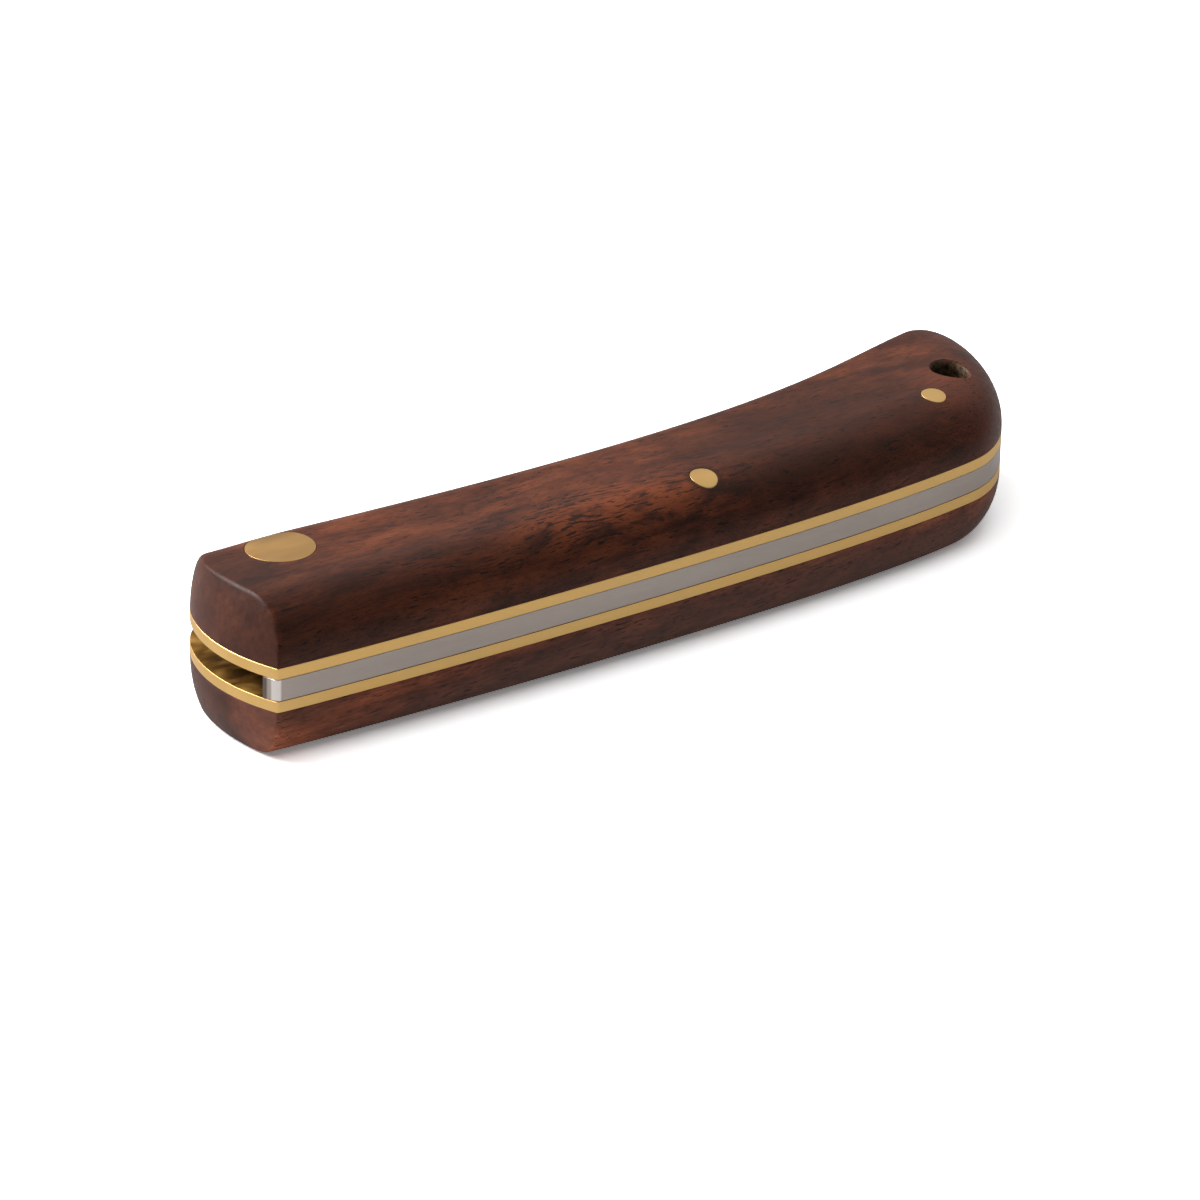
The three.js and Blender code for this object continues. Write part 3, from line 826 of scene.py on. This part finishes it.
class Graph:
    """A material and short ways to add nodes to it."""

    def __init__(self, name):
        self.material = bpy.data.materials.new(name)
        self.material.use_nodes = True
        self.tree = self.material.node_tree
        self.tree.nodes.clear()
        self.point = self.add("ShaderNodeTexCoord").outputs["Object"]

    def add(self, kind, inputs=None, **settings):
        node = self.tree.nodes.new(kind)
        for name, value in settings.items():
            setattr(node, name, value)
        for name, value in (inputs or {}).items():
            if isinstance(value, bpy.types.NodeSocket):
                self.tree.links.new(value, node.inputs[name])
            else:
                node.inputs[name].default_value = value
        return node

    def calculate(self, operation, first, second=0.0):
        return self.add("ShaderNodeMath", {0: first, 1: second}, operation=operation).outputs[0]

    def moved(self, offset=(0, 0, 0), turn=(0, 0, 0), size=(1, 1, 1)):
        """The object's own coordinates, shifted, turned and then scaled."""
        inputs = {"Vector": self.point, "Location": offset, "Rotation": turn}
        shifted = self.add("ShaderNodeMapping", inputs).outputs[0]
        return self.add("ShaderNodeMapping", {"Vector": shifted, "Scale": size}).outputs[0]

    def noise(self, at, scale, detail=2.0, roughness=0.5, distortion=0.0):
        inputs = {
            "Vector": at, "Scale": scale, "Detail": detail, "Roughness": roughness,
            "Distortion": distortion}
        return self.add("ShaderNodeTexNoise", inputs).outputs["Fac"]

    def axis_noise(self, cycles, detail=2.0, distortion=0.0):
        """Noise with that many cycles per metre along each axis."""
        return self.noise(self.moved(size=cycles), 1.0, detail, distortion=distortion)

    def ramp(self, factor, *stops):
        """A colour ramp through (position, colour) stops, colours from 0 to 255."""
        node = self.add("ShaderNodeValToRGB", {"Fac": factor})
        elements = node.color_ramp.elements
        while len(elements) < len(stops):
            elements.new(0.5)
        for element, (position, colour) in zip(elements, stops):
            element.position = position
            element.color = srgb(*colour)
        return node.outputs["Color"]

    def fade(self, value, low, high, start=0.0, end=1.0):
        """value from low to high, turned into start to end and held there."""
        inputs = {"Value": value, "From Min": low, "From Max": high, "To Min": start, "To Max": end}
        node = self.add("ShaderNodeMapRange", inputs, clamp=True, interpolation_type="SMOOTHSTEP")
        return node.outputs[0]

    def mix(self, factor, first, second, blend="MIX"):
        node = self.add("ShaderNodeMix", data_type="RGBA", blend_type=blend)
        for socket, value in ((node.inputs[0], factor), (node.inputs[6], first), (node.inputs[7], second)):
            if isinstance(value, bpy.types.NodeSocket):
                self.tree.links.new(value, socket)
            else:
                socket.default_value = value
        return node.outputs[2]

    def tinted(self, colour, share, towards):
        """A colour turned towards another, given from 0 to 255, by a share."""
        return self.mix(share, colour, srgb(*towards))

    def scaled(self, colour, factor):
        """A colour made brighter or darker by a factor."""
        grey = self.add("ShaderNodeCombineColor", {"Red": factor, "Green": factor, "Blue": factor})
        return self.mix(1.0, colour, grey.outputs[0], "MULTIPLY")

    def bump(self, height, depth, strength):
        inputs = {"Height": height, "Distance": depth * MM, "Strength": strength}
        return self.add("ShaderNodeBump", inputs).outputs[0]

    def facing(self, axis):
        """How far the surface faces along an axis, either way, from 0 to 1."""
        normal = self.add("ShaderNodeTexCoord").outputs["Normal"]
        parts = self.add("ShaderNodeSeparateXYZ", {"Vector": normal})
        return self.calculate("ABSOLUTE", parts.outputs[axis])

    def surface(self, **inputs):
        """A Principled surface; underscores in the names stand for spaces."""
        named = {name.replace("_", " "): value for name, value in inputs.items()}
        shader = self.add("ShaderNodeBsdfPrincipled", named)
        output = self.add("ShaderNodeOutputMaterial")
        self.tree.links.new(shader.outputs[0], output.inputs[0])
        return self.material


def near(g, at, size):
    """Distance from a point of the drawing, in units of size along each axis."""
    centre = place(at)
    scaled = g.moved(offset=tuple(-c for c in centre), size=tuple(1 / (s * MM) for s in size))
    return g.add("ShaderNodeVectorMath", {0: scaled}, operation="LENGTH").outputs["Value"]


def region(g, at, size, edge, strength=1.0):
    """That strength round a point, fading to 0 between two shares of the size."""
    return g.fade(near(g, at, size), *edge, 0.0, strength)


def grain_noise(g, point, length, width, detail=2.0, roughness=0.5):
    """Noise with streaks of about that length and width in millimetres."""
    size = (1 / (length * MM), 1 / (width * MM), 1 / (width * MM))
    stretched = g.add("ShaderNodeMapping", {"Vector": point, "Scale": size}).outputs[0]
    return g.noise(stretched, 1.0, detail, roughness)


def grain_point(g):
    """Coordinates along the grain, which slopes and sways a little."""
    along = g.moved(turn=(0, math.radians(GRAIN_DIP), math.radians(GRAIN_SLOPE)))
    sway = g.axis_noise(SWAY_CYCLES)
    sideways, upwards = [g.calculate("MULTIPLY", sway, reach * MM) for reach in GRAIN_SWAY]
    shift = g.add("ShaderNodeCombineXYZ", {"Y": sideways, "Z": upwards}).outputs[0]
    return g.add("ShaderNodeVectorMath", {0: along, 1: shift}, operation="ADD").outputs[0]


def wood_pores(g, point):
    """How dark the pores make the wood: bold ones in clusters, fine ones all over, and long dark lines."""
    clusters = g.fade(grain_noise(g, point, *PORE_CLUSTERS), *CLUSTER_LEVELS, 0.0, CLUSTER_GAIN)
    bold = g.calculate("ADD", grain_noise(g, point, *BOLD_PORES), region(g, *MORE_BOLD_PORES))
    bold = g.fade(g.calculate("ADD", bold, clusters), *BOLD_LEVELS, 0.0, BOLD_DARKNESS)
    fine = g.fade(grain_noise(g, point, *FINE_PORES), *FINE_LEVELS, 0.0, FINE_DARKNESS)
    lines = g.fade(grain_noise(g, point, *DARK_LINES), *FINE_LEVELS)
    lines = g.calculate("MULTIPLY", lines, region(g, *LINES_TOWARDS_BUTT))
    return g.calculate("MAXIMUM", g.calculate("MAXIMUM", bold, fine), lines)


def rosewood(name, back_painted_light):
    """Dark reddish brown wood: soft mottling, grain along the handle, dark open pores, an oiled surface.

    The second argument is how much lighter the wood is painted along the handle's back: painted light,
    standing in for light thrown up from the floor.
    """
    g = Graph(name)
    point = grain_point(g)
    streaks = grain_noise(g, point, *STREAKS)
    noises = (grain_noise(g, point, *BANDS), streaks, grain_noise(g, point, *MOTTLE))
    tone = 0.0
    for share, noise in zip(TONE_SHARES, noises):
        tone = g.calculate("ADD", tone, g.calculate("MULTIPLY", noise, share))
    colour = g.ramp(tone, *WOOD_TONES)

    glow = g.calculate("MAXIMUM", region(g, *RED_GLOW), region(g, *FAINT_GLOW))
    patches = g.fade(grain_noise(g, point, *GLOW_PATCHES), *PATCH_LEVELS)
    colour = g.tinted(colour, g.calculate("MULTIPLY", glow, patches), GLOW_COLOUR)
    # The grey underside among these is a painted reflection and shade
    stretches = (
        (DULL_STRETCH, DULL_COLOUR), (UNDERSIDE_PAINTED_REFLECTION, UNDERSIDE_REFLECTION_COLOUR), (WARM_BUTT, BUTT_COLOUR),
        (DARK_BAND, BAND_COLOUR))
    for stretch, towards in stretches:
        colour = g.tinted(colour, region(g, *stretch), towards)
    pivot_end = g.calculate("MAXIMUM", region(g, *DARK_PIVOT_END), region(g, *DARK_BY_BOLSTER))
    colour = g.tinted(colour, pivot_end, PIVOT_END_COLOUR)
    # Painted shade below the lower liner
    colour = g.tinted(colour, region(g, *SHADE_BELOW_LINER), SHADE_BELOW_LINER_COLOUR)

    end_grain = g.fade(g.facing("X"), *END_GRAIN_FACING)
    fewer = g.fade(end_grain, 0, 1, 1.0, END_GRAIN_PORES)
    pores = g.calculate("MULTIPLY", wood_pores(g, point), fewer)
    colour = g.tinted(colour, pores, PORE_COLOUR)
    colour = g.tinted(colour, g.calculate("MULTIPLY", end_grain, END_GRAIN_SHARE), END_GRAIN_COLOUR)
    # Painted shade: the wood is darker where its surface faces either side of the handle
    painted_side_shade = g.fade(g.facing("Y"), *SIDE_SHADE_FACING, 1.0, 1.0 - SIDE_PAINTED_SHADE)
    # Painted light: the wood lighter along the handle's back, standing in for light thrown up from the
    # floor
    back_light_gain = g.calculate("ADD", region(g, *BACK_LIGHT_REGION, back_painted_light), 1.0)
    colour = g.scaled(colour, g.calculate("MULTIPLY", painted_side_shade, back_light_gain))

    # Painted shade: the inside of the lanyard hole darker, in olive browns
    reach = LANYARD_RADIUS + BORE_LINING
    bore_shade = region(g, LANYARD.to_3d(), (reach, reach, THROUGH), BORE_EDGE, BORE_SHARE)
    colour = g.mix(bore_shade, colour, g.ramp(grain_noise(g, point, *BORE_FLUFF), *BORE_SHADE_TONES))
    ragged = g.calculate("MULTIPLY", grain_noise(g, point, *RAGGED_EDGE), HALO_RAGGEDNESS)
    halo = g.calculate("ADD", near(g, CENTRE_PIN.to_3d(), HALO_SIZE), ragged)
    colour = g.tinted(colour, g.fade(halo, *HALO_EDGE, 0.0, HALO_SHARE), HALO_COLOUR)

    fibres = g.calculate("MULTIPLY", grain_noise(g, point, *FIBRES), FIBRE_SHARE)
    normal = g.bump(g.calculate("SUBTRACT", fibres, pores), *WOOD_RELIEF)
    roughness = g.fade(streaks, *NOISE_LEVELS, *WOOD_ROUGHNESS)
    return g.surface(
        Base_Color=colour, Roughness=roughness, Normal=normal, IOR=1.45, Specular_IOR_Level=0.25)


def brass(name, colours):
    """Sanded brass between two colours, with fine scratches along the handle and dark stain in the slot."""
    g = Graph(name)
    patches = g.axis_noise(BRASS_PATCHES, detail=3.0)
    colour = g.ramp(patches, *zip(NOISE_LEVELS, colours))
    height = g.add("ShaderNodeSeparateXYZ", {"Vector": g.point}).outputs["Z"]
    height = g.calculate("ABSOLUTE", g.calculate("SUBTRACT", height, ORIGIN.z))
    inside = g.fade(height, *[(SLOT_HALF + above) * MM for above in STAIN_EDGE])
    swirls = g.axis_noise(STAIN_SWIRLS, detail=3.0, distortion=0.4)
    colour = g.mix(inside, colour, g.ramp(swirls, *STAIN_TONES))
    normal = g.bump(g.axis_noise(BRASS_SCRATCHES), *BRASS_RELIEF)
    roughness = g.fade(patches, *NOISE_LEVELS, *BRASS_ROUGHNESS)
    roughness = g.calculate("ADD", roughness, g.calculate("MULTIPLY", inside, STAIN_ROUGHER))
    return g.surface(Base_Color=colour, Metallic=1.0, Roughness=roughness, Normal=normal)


def brushed(g, colour, cycles, roughness, relief):
    """A metal surface with fine lines, which ripple it and vary its roughness."""
    lines = g.axis_noise(cycles)
    return g.surface(
        Base_Color=colour, Metallic=1.0, Roughness=g.fade(lines, *NOISE_LEVELS, *roughness),
        Normal=g.bump(lines, *relief))


def spring_steel():
    """Steel brushed along the handle, with painted shade on its end face and a painted highlight on its
    front corner.
    """
    g = Graph("spring_steel")
    colour = g.ramp(g.axis_noise(STEEL_PATCHES, detail=3.0), *zip(NOISE_LEVELS, STEEL))
    # Painted shade on the spring's end face
    colour = g.tinted(colour, region(g, *SPRING_END_PAINTED_SHADE), SPRING_END_SHADE_COLOUR)
    # Painted highlight on the spring's front corner
    colour = g.tinted(colour, region(g, *CORNER_PAINTED_HIGHLIGHT), CORNER_HIGHLIGHT_COLOUR)
    return brushed(g, colour, STEEL_LINES, STEEL_ROUGHNESS, STEEL_RELIEF)


def blade_steel():
    """Satin steel with fine grinding lines across the blade."""
    g = Graph("blade_steel")
    colour = g.ramp(g.axis_noise(BLADE_PATCHES, detail=3.0), *zip(NOISE_LEVELS, BLADE_STEEL))
    return brushed(g, colour, BLADE_LINES, BLADE_ROUGHNESS, BLADE_RELIEF)


# Camera, floor and light

def photo_camera():
    azimuth, elevation = math.radians(CAMERA_AZIMUTH), math.radians(CAMERA_ELEVATION)
    back = Vector((
        math.sin(azimuth) * math.cos(elevation), -math.cos(azimuth) * math.cos(elevation),
        math.sin(elevation)))
    level = Vector((0, 0, 1)).cross(back).normalized()
    turn = Matrix.Rotation(math.radians(CAMERA_ROLL), 3, back)
    right, up = turn @ level, turn @ back.cross(level)
    sideways = (CORNER_PIXEL[0] - IMAGE_SIZE / 2) / FOCAL_PIXELS
    upwards = -(CORNER_PIXEL[1] - IMAGE_SIZE / 2) / FOCAL_PIXELS
    sight = right * sideways + up * upwards - back
    camera = bpy.data.objects.new("camera", bpy.data.cameras.new("camera"))
    camera.matrix_world = Matrix.Translation(place(-sight * CAMERA_DISTANCE)) @ Matrix(
        (right, up, back)).transposed().to_4x4()
    camera.data.sensor_width = SENSOR_WIDTH
    camera.data.lens = FOCAL_PIXELS / IMAGE_SIZE * SENSOR_WIDTH
    camera.data.clip_start, camera.data.clip_end = CLIP_START, CLIP_END
    bpy.context.scene.collection.objects.link(camera)
    bpy.context.scene.camera = camera


def floor():
    """White to the camera, and grey to the light that it throws back on the knife."""
    g = Graph("pale_floor")
    paper = g.ramp(g.noise(g.point, FLOOR_GRAIN), *zip(NOISE_LEVELS, FLOOR_PAPER))
    path = g.add("ShaderNodeLightPath")
    seen = path.outputs["Is Camera Ray"]
    colour = g.mix(path.outputs["Is Glossy Ray"], srgb(*FLOOR_GREY), srgb(*FLOOR_IN_METAL))
    bright = g.mix(1.0, paper, (FLOOR_TO_CAMERA,) * 3 + (1,), "MULTIPLY")
    lit = g.add("ShaderNodeBsdfDiffuse", {"Color": g.mix(seen, colour, bright)}).outputs[0]
    far = g.fade(near(g, HANDLE_MIDDLE, (1, 1, 1)), *FLOOR_FADE)
    to_camera = g.calculate("MULTIPLY", seen, g.fade(far, 0, 1, SHADOW_FILL, 1.0))
    in_metal = g.calculate("MULTIPLY", path.outputs["Is Glossy Ray"], FLOOR_GLOW_IN_METAL)
    strength = g.calculate("ADD", to_camera, in_metal)
    glow = g.add("ShaderNodeEmission", {"Color": (1, 1, 1, 1), "Strength": strength})
    both = g.add("ShaderNodeAddShader", {0: lit, 1: glow.outputs[0]})
    output = g.add("ShaderNodeOutputMaterial")
    g.tree.links.new(both.outputs[0], output.inputs[0])
    corners = [(-1, -1), (1, -1), (1, 1), (-1, 1)]
    level = -SCALE_OUTER - FLOOR_GAP
    plane = mesh_object(
        "floor", [Vector((x * FLOOR_REACH, y * FLOOR_REACH, level)) for x, y in corners], [(0, 1, 2, 3)])
    plane.data.materials.append(g.material)
    return plane


def area_light(name, direction, size, power):
    light = bpy.data.lights.new(name, "AREA")
    light.shape = "SQUARE"
    light.size = size
    light.energy = power
    lamp = bpy.data.objects.new(name, light)
    towards = Vector(direction).normalized()
    lamp.matrix_world = Matrix.Translation(place(HANDLE_MIDDLE) + towards * LAMP_DISTANCE) @ (
        towards.to_track_quat("Z", "Y").to_matrix().to_4x4())
    bpy.context.scene.collection.objects.link(lamp)
    return lamp


def light_only(lamp, piece):
    """Lets a lamp light one object, with shadows from all of them."""
    lit = bpy.data.collections.new(lamp.name + "_lights")
    lit.objects.link(piece)
    lamp.light_linking.receiver_collection = lit


def world():
    """White to the camera, a room that brightens upwards to metal, and a dim sky to the rest."""
    made = bpy.data.worlds.new("studio")
    made.use_nodes = True
    bpy.context.scene.world = made
    tree = made.node_tree
    tree.nodes.clear()

    def add(kind, **inputs):
        node = tree.nodes.new(kind)
        for name, value in inputs.items():
            if isinstance(value, bpy.types.NodeSocket):
                tree.links.new(value, node.inputs[name.replace("_", " ")])
            else:
                node.inputs[name.replace("_", " ")].default_value = value
        return node
    path = add("ShaderNodeLightPath")
    direction = add("ShaderNodeSeparateXYZ", Vector=add("ShaderNodeTexCoord").outputs["Generated"])
    rearwards = add(
        "ShaderNodeMapRange", Value=direction.outputs["Y"], From_Min=FRONT, From_Max=REAR,
        To_Min=ROOM_IN_FRONT)

    def brightening(levels):
        """A light that grows from the horizon to overhead, and from the front to the rear."""
        strength = add(
            "ShaderNodeMapRange", Value=direction.outputs["Z"], From_Min=HORIZON, From_Max=OVERHEAD,
            To_Min=levels[0], To_Max=levels[1])
        dimmed = add("ShaderNodeMath")
        dimmed.operation = "MULTIPLY"
        tree.links.new(strength.outputs[0], dimmed.inputs[0])
        tree.links.new(rearwards.outputs[0], dimmed.inputs[1])
        return add("ShaderNodeBackground", Color=(1, 1, 1, 1), Strength=dimmed.outputs[0])
    shown, sky = brightening(ROOM_LIGHT), brightening(SKY_LIGHT)
    white = add("ShaderNodeBackground", Color=(1, 1, 1, 1), Strength=1.0)
    room = add("ShaderNodeMixShader", Fac=path.outputs["Is Glossy Ray"])
    everything = add("ShaderNodeMixShader", Fac=path.outputs["Is Camera Ray"])
    tree.links.new(sky.outputs[0], room.inputs[1])
    tree.links.new(shown.outputs[0], room.inputs[2])
    tree.links.new(room.outputs[0], everything.inputs[1])
    tree.links.new(white.outputs[0], everything.inputs[2])
    tree.links.new(everything.outputs[0], add("ShaderNodeOutputWorld").inputs[0])


photo_camera()
world()
area_light("key_light", KEY_DIRECTION, KEY_SIZE, KEY_POWER)
light_only(area_light("floor_light", FLOOR_LAMP_DIRECTION, FLOOR_LAMP_SIZE, FLOOR_LAMP_POWER), floor())
bpy.context.scene.view_settings.view_transform = "Standard"

# The lower scale's wood is a lit copy of the upper one, with painted light along its back
upper_wood = rosewood("upper_rosewood", BACK_PAINTED_LIGHT[1])
lower_wood_painted_light = rosewood("lower_rosewood_painted_light", BACK_PAINTED_LIGHT[-1])
liner_brass = brass("liner_brass", LINER_BRASS)
pin_brass = brass("pin_brass", PIN_BRASS)
bolster_brass = brass("bolster_brass", BOLSTER_BRASS)
mount(scale("wooden_top_scale", 1), "handle", "top_scale", upper_wood)
mount(scale("wooden_bottom_scale", -1), "handle", "bottom_scale", lower_wood_painted_light)
mount(liner("brass_top_liner", 1), "handle", "top_liner", liner_brass)
mount(liner("brass_bottom_liner", -1), "handle", "bottom_liner", liner_brass)
mount(back_spring(), "handle", "back_spring", spring_steel())
mount(bolster("brass_top_bolster", 1), "handle", "top_bolster", bolster_brass)
mount(bolster("brass_bottom_bolster", -1), "handle", "bottom_bolster", bolster_brass)
centre_pin = through_pin("brass_centre_pin", CENTRE_PIN, PIN_RADIUS)
mount(centre_pin, "handle", "centre_pin", pin_brass)
butt_pin = through_pin("brass_butt_pin", BUTT_PIN, BUTT_PIN_RADIUS)
mount(butt_pin, "handle", "butt_pin", pin_brass)
mount(blade(), "blade", "blade", blade_steel())
frame["nodes"]["pivot_pin"].data.materials.clear()
frame["nodes"]["pivot_pin"].data.materials.append(pin_brass)
